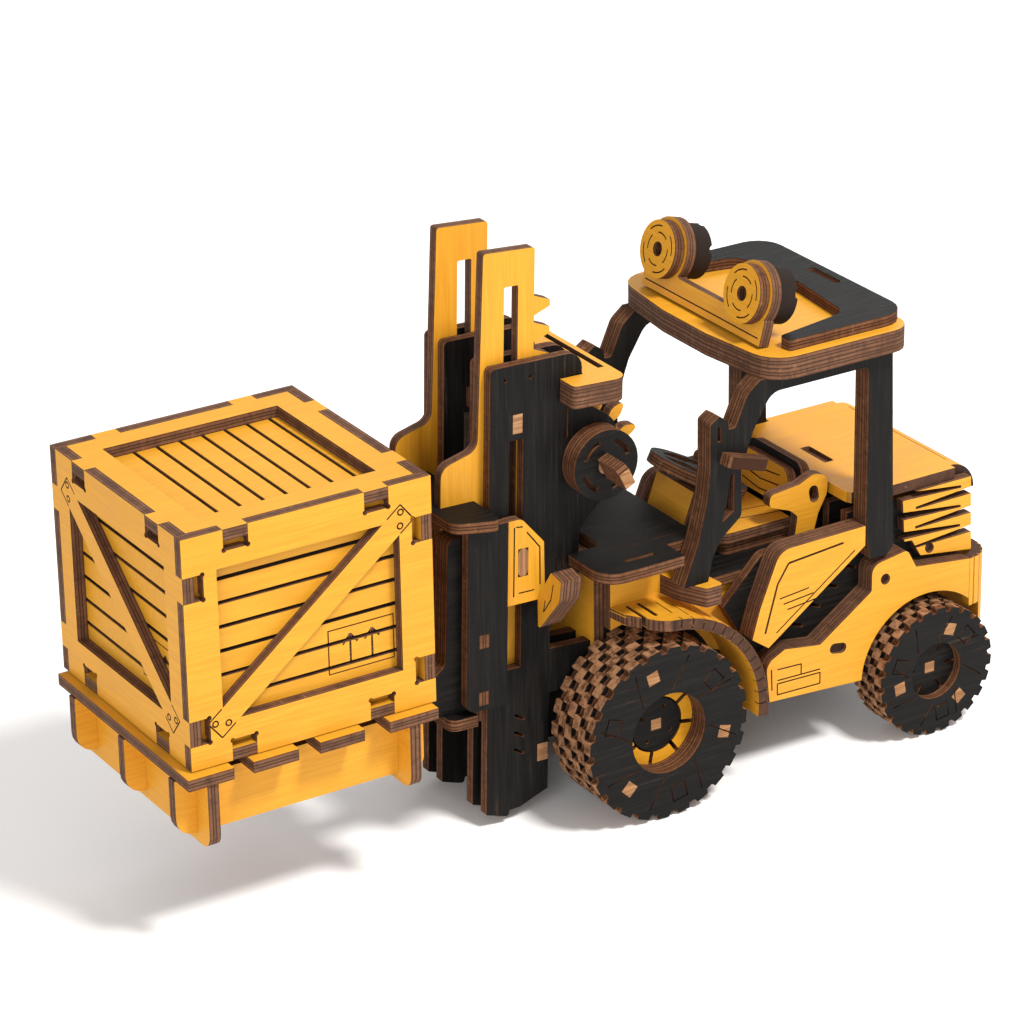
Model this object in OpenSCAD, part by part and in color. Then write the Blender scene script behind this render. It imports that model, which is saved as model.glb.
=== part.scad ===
// Toy forklift cut from flat plywood sheet, with a crate on a pallet.
// +X points forward towards the forks, +Y is the driver's left, +Z is up.
// The origin is on the ground under the middle of the whole toy.

/* [Sheet] */
// Thickness of one ply of sheet
ply = 2.5; // [2.4:0.05:2.5]
// Gap between faces that slide past each other
slide_gap = 0.3; // [0.2:0.05:0.35]
// Width of an engraved line
line_w = 0.32; // [0.25:0.01:0.45]
// Depth of an engraved line
line_d = 0.3; // [0.2:0.05:0.4]

/* [Wheels] */
// Radius of a front tyre
front_r = 19.8; // [19:0.1:19.9]
// Radius of a rear tyre
rear_r = 15; // [14.5:0.1:15.2]
// Plies in a front tyre
front_plies = 6; // [4:1:6]
// Plies in a rear tyre
rear_plies = 4; // [2:1:4]
// Outer half width over the tyres
track_half = 30; // [29.8:0.1:32]
// Radius of an axle dowel
axle_r = 2.2; // [2:0.05:2.4]
// Radial clearance of an axle in its bearing plate
axle_clear = 0.06; // [0.03:0.01:0.1]

/* [Mast] */
// Backward lean of the mast in degrees
mast_lean = 1.75; // [1:0.05:2]
// Height of the fixed uprights
upright_h = 103; // [101:0.5:105]
// Height of the sliding rack plates above the ground
rack_top = 127; // [124:0.5:130]
// Distance from one rack tooth to the next
rack_pitch = 5.8; // [5.8:0.1:6]
// Teeth on a crank pinion
pinion_teeth = 12; // [12:1:12]

/* [Load] */
// Length of the crate along the truck
crate_len = 56; // [54:0.5:56]
// Height of the crate
crate_h = 50; // [44:1:60]
// Gap between the crate and the pallet it stands on
load_gap = 0.25; // [0.2:0.05:0.4]

/* [Hidden] */

// Colours of the painted faces and of bare wood
yellow = "#e8a92c";
black = "#2b2725";
wood = "#8a5a35";

// Levels and planes that several pieces share
floor_z = 44;
deck_z = 56;
frame_y = 21;
frame_t = 2 * ply;
side_y = 18.5;
wall_y = 14.5;
chassis_y = 12;
roof_z = 92.5;
bonnet_z = 56;
front_axle_pos = [-14.1, front_r];
rear_axle_pos = [-84.2, rear_r];
tyre_hole_r = 9.2;
rear_hole_r = 6.6;
fender_r = 23.2;
arch_r = 17.3;
rear_x = -102.3;

// Mast planes, measured from the middle outwards
inner_y = 5;
rack_y = inner_y + ply + slide_gap;
outer_y = rack_y + ply + slide_gap;
clamp_y = outer_y + ply + slide_gap;
carriage_y = clamp_y + ply;
mast_rear = -1;
mast_front = 20.9;
rack_root = 9;
rack_tip = 5.2;
rack_front = 22.2;
pinion_r = pinion_teeth * rack_pitch / (2 * PI);
crank_pos = [rack_root - 1.92 - pinion_r, 79];
crank_r = 1.9;
knob_r = 7.7;

// Load levels
pallet_top = 40.6;
pallet_skirt_z = 23.5;
stringer_z = 25.5;
crate_x = 40;
crate_y = -2;
crate_z = pallet_top + load_gap;

shift_x = 1.9;
eps = 0.01;
fit = 0.03;
arc_n = 5;

// ---------- Outline helpers ----------

function unit(v) = v / norm(v);
function xy(p) = [p[0], p[1]];

// Points of one corner at b between a and c, rounded to radius r
function corner(a, b, c, r) =
    r <= 0 ? [b] :
    let (
        u = unit(a - b),
        v = unit(c - b),
        half = acos(u * v) / 2,
        mid = b + unit(u + v) * r / sin(half),
        p0 = b + u * r / tan(half) - mid,
        p1 = b + v * r / tan(half) - mid,
        a0 = atan2(p0.y, p0.x),
        turn = (atan2(p1.y, p1.x) - a0 + 540) % 360 - 180
    )
    [for (i = [0:arc_n]) mid + r * [cos(a0 + turn * i / arc_n), sin(a0 + turn * i / arc_n)]];

// Outline whose points may carry a third number, the radius of that corner
function rounded(pts) = [
    for (i = [0:len(pts) - 1])
    each corner(
        xy(pts[(i + len(pts) - 1) % len(pts)]),
        xy(pts[i]),
        xy(pts[(i + 1) % len(pts)]),
        len(pts[i]) > 2 ? pts[i][2] : 0
    )
];

// Moves a piece from the drawing's zero to the part's own
module place() {
    translate([shift_x, 0, 0])
        children();
}

module shape(pts) {
    polygon(rounded(pts));
}

// Rectangle given by its middle and its size
module box2d(c, s) {
    translate([c.x - s.x / 2, c.y - s.y / 2])
        square(s);
}

// Slot with round ends, long side at an angle
module slot2d(c, length, width, angle = 0) {
    translate(c)
        rotate(angle)
            shape([
                [-length / 2, -width / 2, width * 0.49],
                [length / 2, -width / 2, width * 0.49],
                [length / 2, width / 2, width * 0.49],
                [-length / 2, width / 2, width * 0.49]
            ]);
}

// One engraved stroke
module stroke(p, q, w = line_w) {
    d = q - p;
    translate(p)
        rotate(atan2(d.y, d.x))
            translate([0, -w / 2])
                square([norm(d), w]);
}

// ---------- Sheet helpers ----------

// A sheet across Y, its outline drawn in X and Z, from y0 to y0 + t
module across_y(y0, t = ply) {
    translate([0, y0 + t, 0])
        rotate([90, 0, 0])
            linear_extrude(t)
                children();
}

// The same sheet on the left and on the right
module pair_y(y0, t = ply) {
    across_y(y0, t)
        children();
    across_y(-y0 - t, t)
        children();
}

// A sheet across X, its outline drawn in Y and Z
module across_x(x0, t = ply) {
    translate([x0, 0, 0])
        rotate([90, 0, 90])
            linear_extrude(t)
                children();
}

// A level sheet
module level(z0, t = ply) {
    translate([0, 0, z0])
        linear_extrude(t)
            children();
}

module right() {
    mirror([0, 1, 0])
        children();
}

// Round bar along Y
module bar_y(pos, y0, y1, r) {
    translate([pos.x, y0, pos.y])
        rotate([-90, 0, 0])
            cylinder(h = y1 - y0, r = r, $fn = 48);
}

// Everything that leans with the mast
module leaning() {
    rotate([0, -mast_lean, 0])
        children();
}

// A flat piece that leans back about an edge at x, z
module tilted(x, z, angle) {
    translate([x, 0, z])
        rotate([0, -angle, 0])
            children();
}

// ---------- Chassis ----------

module chassis_outline() {
    shape([
        [-8, 11, 2], [-8, deck_z], [-27, deck_z, 2], [-30, floor_z], [-66, floor_z],
        [-66, bonnet_z - 2], [-96, bonnet_z - 2, 3], [-96, 22, 3], [-90, 9, 3], [-60, 12, 4],
        [-42, 12, 4], [-26, 11, 3]
    ]);
}

module chassis_sides() {
    place() {
        color(black)
            difference() {
                pair_y(chassis_y)
                    chassis_outline();
                bar_y(front_axle_pos, -20, 20, axle_r + axle_clear);
                bar_y(rear_axle_pos, -20, 20, axle_r + axle_clear);
            }
    }
}

module chassis_cross() {
    place() {
        color(yellow) {
            across_x(-8 + fit)
                shape([[-14.5, 26, 2], [14.5, 26, 2], [14.5, deck_z], [-14.5, deck_z]]);
            across_x(-45)
                box2d([0, 28], [2 * chassis_y, 2 * (floor_z - 28)]);
            across_x(-94)
                box2d([0, 37], [2 * chassis_y, 30]);
        }
    }
}

module cab_floor() {
    place() {
        color(black)
            level(floor_z)
                shape([
                    [-30.5, -side_y], [-30.5, side_y], [-65.5, side_y],
                    [-65.5, -side_y]
                ]);
    }
}

// Front deck over the wheels, cut back in the middle to clear the crank
module deck_plate() {
    place() {
        color(black)
            difference() {
                level(deck_z)
                    shape([
                        [-8, -13.6, 2], [0, -13.6], [0, -27.5, 5], [-19.6, -27.5],
                        [-19.6, -20.6], [-28, -20.6], [-28, 20.6], [-19.6, 20.6],
                        [-19.6, 27.5], [0, 27.5, 5], [0, 13.6], [-8, 13.6, 2]
                    ]);
                for (side = [-1, 1]) {
                    level(deck_z + ply - 0.8, 1)
                        box2d([-11.5, side * 23], [7.4, 1.2]);
                    level(deck_z + ply - line_d, 1)
                        stroke([-25, side * 17], [-9, side * 17]);
                }
            }
    }
}

// Yellow wall that stands between the wheel and the chassis
module fender_walls() {
    place() {
        color(yellow)
            difference() {
                pair_y(wall_y)
                    shape([
                        [-8, 40], [-8, deck_z], [-23, deck_z, 2], [-28, 47, 2], [-30, floor_z],
                        [-45, floor_z], [-45, 28], [-36, 28]
                    ]);
                bar_y(front_axle_pos, -20, 20, front_r + 1.4);
            }
    }
}

// ---------- Fenders ----------

bend_step = 6.8;
bend_angles = [90, for (i = [0:13]) 94.6 + i * bend_step, 186.8];

function around_wheel(a, r) = front_axle_pos + r * [cos(a), sin(a)];

// The bent sheet seen from the side: a flat front, then short flats round the wheel
module fender_profile() {
    last = len(bend_angles) - 1;
    across_y(wall_y + ply, track_half - wall_y - ply - 0.4)
        polygon([
            [-8, front_r + fender_r + ply],
            for (i = [0:last]) around_wheel(bend_angles[i], fender_r + ply),
            for (i = [last:-1:0]) around_wheel(bend_angles[i], fender_r),
            [-8, front_r + fender_r]
        ]);
}

// Outline seen from above, with the outer front corner rounded off
module fender_plan() {
    outer = track_half - 0.4;
    level(0, 60)
        shape([
            [-45, wall_y + ply], [-8, wall_y + ply], [-8.6, outer - 8, 3], [-14, outer, 5],
            [-45, outer]
        ]);
}

// Thin cuts that let the sheet bend, and two slots in its flat front
module fender_cuts() {
    outer = track_half - 0.4;
    for (i = [0:12]) {
        translate([front_axle_pos.x, 0, front_axle_pos.y])
            rotate([0, -(98 + i * bend_step), 0]) {
                translate([fender_r - 0.3, outer - 1.4, -0.16])
                    cube([ply + 1, 2, 0.32]);
                translate([fender_r + ply - 0.5, 19.5 + (i % 2) * 1.6, -0.16])
                    cube([1, 6.4, 0.32]);
            }
    }
    for (x = [-11.2, -13.9])
        level(front_r + fender_r - 1, ply + 2)
            slot2d([x, 22], 7.4, 0.9, 90);
}

module fender_left() {
    place() {
        color(yellow)
            difference() {
                intersection() {
                    fender_profile();
                    fender_plan();
                }
                fender_cuts();
            }
    }
}

module fender_right() {
    right()
        fender_left();
}

// Curved step under the foot of each front pillar
module steps() {
    place() {
        color(yellow)
            for (side = [0, 1])
                mirror([0, side, 0])
                    level(45.6, 4.4)
                        shape([
                            [-20.5, wall_y + ply + fit], [-21.2, 22, 9], [-24.5, 28.6, 1],
                            [-28.8, 28.6, 1], [-27.5, wall_y + ply + fit]
                        ]);
    }
}

// ---------- Cab ----------

module cab_frame_outline() {
    difference() {
        shape([
            [-20.6, 50.1], [-24.2, 59.1, 8], [-26.4, 68, 8], [-27.2, 75, 3], [-27.2, 85.4, 1],
            [-29.3, 86.8, 0.5], [-31.4, 85.4, 0.5], [-31.6, 83.4], [-33.4, 83.2, 1], [-36.4, 90, 4],
            [-39.5, roof_z], [-73.4, roof_z], [-74.6, 46, 2], [-73, 44.4], [-68.8, 44.4],
            [-67.5, 52], [-67.5, 89.3, 1.5], [-42.4, 89.3, 4], [-37.9, 82, 4], [-34.8, 73.4, 2],
            [-35, 63.2, 2], [-30, 59.2, 2], [-27.8, 55.5, 3], [-26.6, 50.1]
        ]);
        shape([
            [-32.2, 73.2, 0.3], [-31.2, 67, 2], [-29.9, 62.4, 0.3], [-33.2, 64.6, 0.8], [-33.2, 73.2, 0.3]
        ]);
        box2d([-29.4, 82.8], [1.1, 3.4]);
    }
}

module cab_frame_left() {
    place() {
        color(black)
            across_y(frame_y, frame_t)
                cab_frame_outline();
        color(black)
            tilted(-34.2, 75, 17)
                level(0)
                    shape([
                        [-5.2, frame_y + frame_t + fit], [-5.2, 29.6, 1.5], [5.2, 29.6, 1.5],
                        [5.2, frame_y + frame_t + fit]
                    ]);
    }
}

module cab_frame_right() {
    right()
        cab_frame_left();
}

// Black sheet behind the doors and skirts, with slanted air slots
module body_side_left() {
    place() {
        color(black)
            difference() {
                across_y(side_y)
                    shape([
                        [-34, 40], [-44, 50, 3], [-66, 50], [-66, 54], [-96, 54, 4],
                        [-96, 16], [-66, 16], [-41, 18], [-40, 30]
                    ]);
                bar_y(front_axle_pos, 10, 30, fender_r + ply + 0.4);
                bar_y(rear_axle_pos, 10, 30, arch_r);
                for (i = [0:3])
                    across_y(side_y - 1, ply + 2)
                        slot2d([-52.5 - 4.6 * i, 31.2 + 3.4 * i], 5.2, 0.9, 20);
            }
    }
}

module body_side_right() {
    right()
        body_side_left();
}

module door_outline() {
    shape([
        [-38, 33.4], [-40, 40.2], [-45, 52.4, 4], [-67.2, 52.6], [-67.2, 48], [-42.2, 30.4]
    ]);
}

module door_panels() {
    outer = frame_y + frame_t;
    place() {
        color(yellow)
            difference() {
                pair_y(frame_y, frame_t)
                    door_outline();
                for (side = [0, 1])
                    mirror([0, side, 0]) {
                        across_y(outer - 0.9, 1) {
                            stroke([-41.3, 34], [-44.4, 44.8], 0.5);
                            stroke([-44.4, 44.8], [-47.2, 49], 0.5);
                            stroke([-47.2, 49], [-61.5, 50.1], 0.5);
                        }
                        across_y(outer - line_d, 1) {
                            for (i = [0:2])
                                stroke([-45 - i, 41.2 - 1.5 * i], [-52.6 - i * 1.2, 41.9 - 1.5 * i]);
                            stroke([-44.2, 33.4], [-64.5, 47.6]);
                        }
                    }
            }
    }
}

module skirt_outline() {
    shape([
        [-42.6, 17.4], [-41.6, 26.6, 3], [-46.5, 28.9], [-55.7, 27.5, 1], [-69.2, 36.6, 1],
        [-69.2, 42.6, 2.5], [-78.6, 44, 1.5], [-81, 39.4], [-95.6, 37.6], [-95.6, 14],
        [-66, 16]
    ]);
}

module skirt_left() {
    outer = frame_y + frame_t;
    place() {
        color(yellow)
            difference() {
                across_y(frame_y, frame_t)
                    skirt_outline();
                bar_y(rear_axle_pos, frame_y - 1, outer + 1, arch_r);
                across_y(outer - 1, 2) {
                    slot2d([-60.5, 25.4], 4.4, 2.4, 10);
                    slot2d([-72.8, 38.6], 2.6, 2.4, 60);
                }
                across_y(outer - line_d, 1) {
                    for (h = [21.2, 24.6]) {
                        stroke([-44.6, h - 2.6], [-55.8, h - 2.9]);
                        stroke([-44.6, h], [-55.8 + (h > 22 ? 5 : 0), h - 0.3]);
                    }
                    stroke([-44.6, 18.6], [-44.6, 21.2]);
                    stroke([-55.8, 18.3], [-55.8, 21]);
                    stroke([-50.8, 22], [-50.8, 24.4]);
                    stroke([-43.2, 20], [-43, 25]);
                }
            }
    }
}

module skirt_right() {
    right()
        skirt_left();
}

// Side grille cut into one long zigzag strip
module grilles() {
    place() {
        color(yellow)
            difference() {
                pair_y(frame_y)
                    shape([
                        [-78.8, 55.9], [-97.2, 55.9], [-97.8, 38.4], [-84, 40.4, 0.5],
                        [-81.6, 44.6, 0.5], [-79.6, 44.8]
                    ]);
                for (side = [0, 1])
                    mirror([0, side, 0]) {
                        for (i = [0:2])
                            across_y(frame_y - 1, ply + 2) {
                                polygon([
                                    [-77, 56.6 - 4.6 * i], [-94.6, 54.4 - 4.6 * i],
                                    [-94.6, 53.8 - 4.6 * i], [-77, 54.6 - 4.6 * i]
                                ]);
                                polygon([
                                    [-99, 53.6 - 4.6 * i], [-99, 51.8 - 4.6 * i],
                                    [-82.4, 51.7 - 4.6 * i], [-82.4, 52.3 - 4.6 * i]
                                ]);
                            }
                        across_y(frame_y + ply - 0.9, 1)
                            slot2d([-86.4, 41.6], 2.6, 2.2, 60);
                    }
            }
    }
}

// Hood with a rounded back edge and notches for the rear pillars
module bonnet() {
    half = 22.6;
    place() {
        color(yellow)
            difference() {
                union() {
                    level(bonnet_z)
                        shape([
                            [-66.4, -half, 4], [-66.4, half, 4], [-93.5, half], [-93.5, -half]
                        ]);
                    translate([-93.5 + eps, frame_y - 0.1, bonnet_z - 4])
                        rotate([90, 0, 0])
                            linear_extrude(2 * frame_y - 0.2)
                                difference() {
                                    circle(r = 4 + ply, $fn = 64);
                                    circle(r = 4, $fn = 64);
                                    translate([0, -20])
                                        square([20, 40]);
                                    translate([-20, -20])
                                        square([40, 20]);
                                }
                }
                for (side = [-1, 1])
                    level(bonnet_z - 1, 10)
                        box2d([-70, side * (frame_y + 2)], [10, 4.2]);
                level(bonnet_z + 1.5, 2)
                    slot2d([-73, 0], 9.4, 2.4, 90);
                for (i = [0:4])
                    translate([-93.5, 0, bonnet_z - 4])
                        rotate([0, -(10 + 16 * i), 0])
                            translate([-0.16, -18, 4 + ply - 0.5])
                                cube([0.32, 36, 1]);
            }
    }
}

// Rear skirt bent round both corners
module rear_panel() {
    place()
        color(yellow)
            difference() {
                level(20.4, 17.2)
                    difference() {
                        shape([
                            [-95.7, -26], [rear_x, -26, 6.3], [rear_x, 26, 6.3], [-95.7, 26],
                            [-95.7, 26 - ply], [rear_x + ply, 26 - ply, 3.8],
                            [rear_x + ply, ply - 26, 3.8], [-95.7, ply - 26]
                        ]);
                        for (side = [0, 1])
                            mirror([0, side, 0]) {
                                for (i = [0:4])
                                    translate([rear_x + 6.3, 19.7])
                                        rotate(171 - i * 18)
                                            translate([5.8, -0.16])
                                                square([1, 0.32]);
                                for (y = [10.5, 13, 15.5])
                                    translate([rear_x - 0.6, y - 0.16])
                                        square([1, 0.32]);
                            }
                    }
                translate([-99, -40, 10])
                    cube([20, 80, 16.2]);
            }
}

// ---------- Roof ----------

module roof_base() {
    place() {
        color(yellow)
            level(roof_z, 2 * ply)
                shape([
                    [-38, -8], [-38, 8], [-40.5, 29, 7], [-76.6, 29, 5], [-76.6, -29, 5],
                    [-40.5, -29, 7]
                ]);
    }
}

module roof_top() {
    place() {
        color(black)
            difference() {
                level(roof_z + 2 * ply)
                    shape([
                        [-46.5, 26.3, 1], [-77.2, 26.3, 6], [-77.2, -26.3, 6], [-46.5, -26.3, 1],
                        [-46.5, -23, 0.8], [-65.5, -19.5, 4], [-67.5, 0], [-65.5, 19.5, 4],
                        [-46.5, 23, 0.8]
                    ]);
                level(roof_z + 3 * ply - 0.6, 1)
                    slot2d([-74.2, 0], 10.5, 2, 90);
            }
    }
}

lamp_y = 15.7;
lamp_h = 10.2;
lamp_lean = 15;
lamp_hole = 1.6;

// Where the light bar stands on the roof, and how far it leans back
module on_roof() {
    tilted(-41.6, roof_z + 2 * ply + fit, lamp_lean)
        children();
}

// Bar across the front of the roof whose two lobes carry the lamps
module light_bar() {
    color(yellow)
        place() {
            on_roof() {
                difference() {
                    across_x(-ply) {
                        shape([
                            [-22, 0.7], [22, 0.7], [22, 6.4, 0.6], [12, 6.4], [9, 5.6, 1],
                            [-9, 5.6, 1], [-12, 6.4], [-22, 6.4, 0.6]
                        ]);
                        for (side = [-1, 1])
                            translate([side * lamp_y, lamp_h])
                                circle(r = 7.1, $fn = 64);
                    }
                    for (side = [-1, 1])
                        across_x(-ply - 1, ply + 2)
                            translate([side * lamp_y, lamp_h])
                                circle(r = lamp_hole, $fn = 32);
                    across_x(-line_d, 1)
                        stroke([-21, 2.2], [21, 2.2]);
                }
            }
        }
}

// Arc-shaped engraving round a lamp or a knob
module arcs2d(r, count, span, w = line_w) {
    for (i = [0:count - 1])
        rotate(i * 360 / count)
            difference() {
                polygon([
                    for (a = [0:5]) (r + w) * [cos(span * a / 5), sin(span * a / 5)],
                    for (a = [5:-1:0]) r * [cos(span * a / 5), sin(span * a / 5)]
                ]);
            }
}

module lamps() {
    place()
        on_roof()
            for (side = [-1, 1])
                translate([0, side * lamp_y, lamp_h]) {
                    color(yellow)
                        difference() {
                            across_x(fit)
                                circle(r = 6.3, $fn = 64);
                            across_x(-10, 20)
                                circle(r = lamp_hole, $fn = 32);
                            across_x(fit + ply - line_d, 1) {
                                arcs2d(4.9, 4, 50);
                                rotate(50)
                                    arcs2d(3.4, 4, 55);
                            }
                        }
                    color(black)
                        difference() {
                            across_x(-3 * ply - fit, 2 * ply)
                                circle(r = 6, $fn = 64);
                            across_x(-20, 20)
                                circle(r = lamp_hole, $fn = 32);
                            for (a = [20, 90, 160])
                                across_x(-3 * ply - 1, 1.6)
                                    rotate(a)
                                        translate([6, 0])
                                            circle(r = 0.9, $fn = 24);
                        }
                }
}

// ---------- Cab interior ----------

module console_sides() {
    place() {
        color(black)
            pair_y(7)
                shape([
                    [-31.8, 46.5], [-32.6, 51, 2], [-36.4, 60.2, 2], [-39.4, 59.2, 1.5],
                    [-38.9, 55, 2], [-38.9, 46.5]
                ]);
    }
}

console_tilt = 20;
wheel_tilt = 27;
wheel_hub = [-42, 62.8];

// Front face of the console, and the plate that the steering shaft turns in
module console_face() {
    place() {
        color(yellow)
            tilted(-34.2, 49.5, console_tilt)
                across_x(0)
                    box2d([0, 6], [14, 11]);
        color(black)
            tilted(wheel_hub.x, wheel_hub.y, wheel_tilt)
                difference() {
                    level(-5.4)
                        box2d([0, 0], [3.6, 14]);
                    translate([0, 0, -10])
                        cylinder(h = 12, r = 1 + axle_clear, $fn = 32);
                }
    }
}

module steering_wheel() {
    place() {
        color(black)
            tilted(wheel_hub.x, wheel_hub.y, wheel_tilt) {
                level(-ply) {
                    difference() {
                        circle(r = 11.2, $fn = 64);
                        circle(r = 8.4, $fn = 64);
                    }
                    circle(r = 3.4, $fn = 48);
                    for (a = [90, 210, 330])
                        rotate(a)
                            translate([2.6, -1.3])
                                square([6.5, 2.6]);
                }
                translate([0, 0, -5.6])
                    cylinder(h = 4, r = 1, $fn = 32);
            }
    }
}

// ---------- Seat ----------

module seat_base() {
    place() {
        color(black)
            level(floor_z + ply, ply + 0.5)
                shape([[-40.5, -11, 2], [-40.5, 11, 2], [-58, 11], [-58, -11]]);
    }
}

module seat_cushion() {
    place() {
        color(yellow)
            difference() {
                level(floor_z + 2 * ply + 0.5)
                    shape([[-39.4, -12, 3], [-39.4, 12, 3], [-57.4, 12], [-57.4, -12]]);
                level(floor_z + 3 * ply + 0.5 - line_d, 1)
                    for (side = [-1, 1]) {
                        stroke([-57.4, side * 8.4], [-42, side * 5.5]);
                        stroke([-57.4, side * 4.2], [-42, side * 1.8]);
                        stroke([-42, side * 5.5], [-42, side * 1.8]);
                    }
            }
    }
}

seat_lean = 12;

module seat_back() {
    place()
        tilted(-61, floor_z + ply + fit, seat_lean) {
            color(black)
                across_x(0)
                    shape([
                        [-11.8, 3], [-11.8, 11, 2], [-9, 15.6, 3], [9, 15.6, 3], [11.8, 11, 2],
                        [11.8, 3], [8, 1.5], [-8, 1.5]
                    ]);
            color(yellow)
                difference() {
                    across_x(ply)
                        shape([
                            [-10.4, 5.9], [-10.4, 9.8, 1.5], [-8, 14, 2.5], [8, 14, 2.5],
                            [10.4, 9.8, 1.5], [10.4, 5.9]
                        ]);
                    across_x(2 * ply - line_d, 1)
                        for (w = [7.6, 9.8, 12]) {
                            stroke([-6.4, w], [0, w - 0.7]);
                            stroke([0, w - 0.7], [6.4, w]);
                        }
                }
        }
}

module armrests() {
    place() {
        color(yellow)
            difference() {
                pair_y(12 + fit)
                    shape([
                        [-50.2, 56.8, 1.2], [-50.4, 59.6, 1.2], [-58, 60.3, 2], [-61.8, 62, 3],
                        [-65.6, 60.6, 2.5], [-65.2, 56.4, 2], [-63, 52.4, 1.5],
                        [-61.4, floor_z + ply + fit], [-56.6, floor_z + ply + fit], [-57.6, 53, 1], [-55.6, 54.8, 2]
                    ]);
                for (side = [-1, 1])
                    across_y(side * 13.25 - 2, 4)
                        slot2d([-61.8, 57.2], 4, 2.4, 80);
            }
    }
}

// ---------- Mast ----------

function upright_rear(h) = [
    [mast_front, 2.5], [mast_front, h, 1], [mast_rear, h, 3.5], [mast_rear, 92, 6],
    [-10, 86, 6], [-10, 72, 6], [mast_rear, 64, 6], [mast_rear, 48, 3], [5.8, 43, 2],
    [5.8, 37.5], [-8, 37], [-8, 28], [5.8, 27.5], [5.8, 5.1], [12.7, 2.4, 1],
    [15.2, 2.2], [15.6, 0.9, 0.5], [17.6, 1.4, 0.5]
];

// Room behind the mast that belongs to the front wall of the chassis
module wall_room() {
    translate([-25.45, -20, 0])
        cube([20, 40, 60]);
}

module mast_outer_left() {
    place() {
        color(black)
            difference() {
                leaning()
                    across_y(outer_y)
                        difference() {
                            shape(upright_rear(upright_h));
                            box2d([14.5, 60.8], [3.4, 51.6]);
                            box2d([14.35, 90.1], [2.36, 4.26]);
                            box2d([7.2, 14], [2.66, 4.06]);
                            box2d([2.4, 87.9], [0.6, 6.6]);
                            for (i = [0:3])
                                box2d([-0.2 + 1.6 * i, 56.5], [0.5, 3]);
                            for (i = [0:2])
                                slot2d([13, 23.5 - 4 * i], 3, 0.7, 30);
                            for (p = [[17.3, 100.1], [11.3, 99.8]])
                                translate(p)
                                    circle(r = 0.5, $fn = 24);
                            translate(crank_pos)
                                circle(r = crank_r + axle_clear, $fn = 48);
                        }
                wall_room();
            }
    }
}

module mast_outer_right() {
    right()
        mast_outer_left();
}

module mast_inner() {
    place() {
        color(black)
            difference() {
                leaning()
                    pair_y(inner_y)
                        difference() {
                            shape(upright_rear(upright_h));
                            box2d([14.5, 60.8], [3.4, 51.6]);
                            box2d([14.35, 90.1], [2.36, 4.26]);
                            box2d([7.2, 14], [2.66, 4.06]);
                            translate(crank_pos)
                                circle(r = crank_r + axle_clear, $fn = 48);
                        }
                wall_room();
            }
    }
}

// Bars that hold the four uprights at their spacing, ends flush outside
module mast_spacers() {
    place() {
        color(wood)
            leaning() {
                across_y(-outer_y - ply, 2 * (outer_y + ply)) {
                    box2d([14.35, 90.1], [2.3, 4.2]);
                    box2d([7.2, 14], [2.6, 4]);
                }
            }
    }
}

// Fork-shaped plate that ties the uprights together behind
module mast_brace() {
    place() {
        color(yellow)
            leaning()
                difference() {
                    level(93, 2 * ply)
                        shape([
                            [-8.4, -19.4, 3], [4.4, -18.6, 1], [4.4, -13.3], [-1.2, -13.3],
                            [-1.2, 13.3], [4.4, 13.3], [4.4, 18.6, 1], [-8.4, 19.4, 3]
                        ]);
                    level(92, 4 * ply)
                        box2d([-6.4, 1], [1.5, 22]);
                }
    }
}

module cleat_outline() {
    difference() {
        shape([
            [13.15, 45.5], [17.1, 45.5, 1], [24.6, 54.2, 3], [25.4, 59], [21.6, 59.8, 0.5],
            [13.15, 47.6]
        ]);
    }
}

// Hooked stops outside the uprights; the front sheet clears the carriage
module mast_cleats() {
    place() {
        color(yellow)
            difference() {
                for (side = [0, 1])
                    mirror([0, side, 0]) {
                        across_x(4.4)
                            cleat_outline();
                        across_x(4.4 + ply)
                            difference() {
                                cleat_outline();
                                translate([0, 40])
                                    square([carriage_y + 0.35, 30]);
                            }
                    }
                for (side = [0, 1])
                    mirror([0, side, 0])
                        across_x(4.4 + 2 * ply - line_d, 1) {
                            stroke([18.4, 49.6], [21.4, 53.6]);
                            stroke([21.4, 53.6], [22.4, 57.4]);
                            stroke([18.4, 49.6], [19.2, 52.6]);
                        }
            }
    }
}

// ---------- Lift ----------

// One straight-sided rack tooth pointing backward, centred on w = 0
module rack_tooth() {
    polygon([
        [rack_root + eps, -2.15], [rack_tip, -0.66], [rack_tip, 0.66], [rack_root + eps, 2.15]
    ]);
}

module rack_left() {
    place() {
        color(yellow)
            leaning()
                across_y(rack_y) {
                    difference() {
                        shape([
                            [rack_root, rack_top - 0.6, 0.6], [rack_front - 1, rack_top, 0.6],
                            [rack_front, 85, 3], [30.9, 82.5, 3], [30.9, 24.6, 2],
                            [rack_root, 24.6, 2]
                        ]);
                        shape([[12.85, 62], [12.85, 119, 0.4], [16.2, 119, 0.4], [16.2, 62]]);
                        box2d([25.15, 46], [2.56, 8.06]);
                        box2d([25.15, 30.6], [2.56, 8.06]);
                        box2d([29, 72.65], [12.06, 2.56]);
                        box2d([32, 28.25], [11.06, 2.56]);
                    }
                    for (i = [-5:6])
                        translate([0, crank_pos.y + i * rack_pitch])
                            rack_tooth();
                }
    }
}

module rack_right() {
    right()
        rack_left();
}

// Level plates across the top and the foot of the carriage
module carriage_top() {
    place() {
        color(black)
            leaning() {
                level(71.4)
                    shape([[23, -21.6, 1.5], [33, -18.4, 3], [33, 18.4, 3], [23, 21.6, 1.5]]);
                level(27)
                    shape([[26.5, -18.4], [33, -18.4, 2], [33, 18.4, 2], [26.5, 18.4]]);
            }
    }
}

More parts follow.
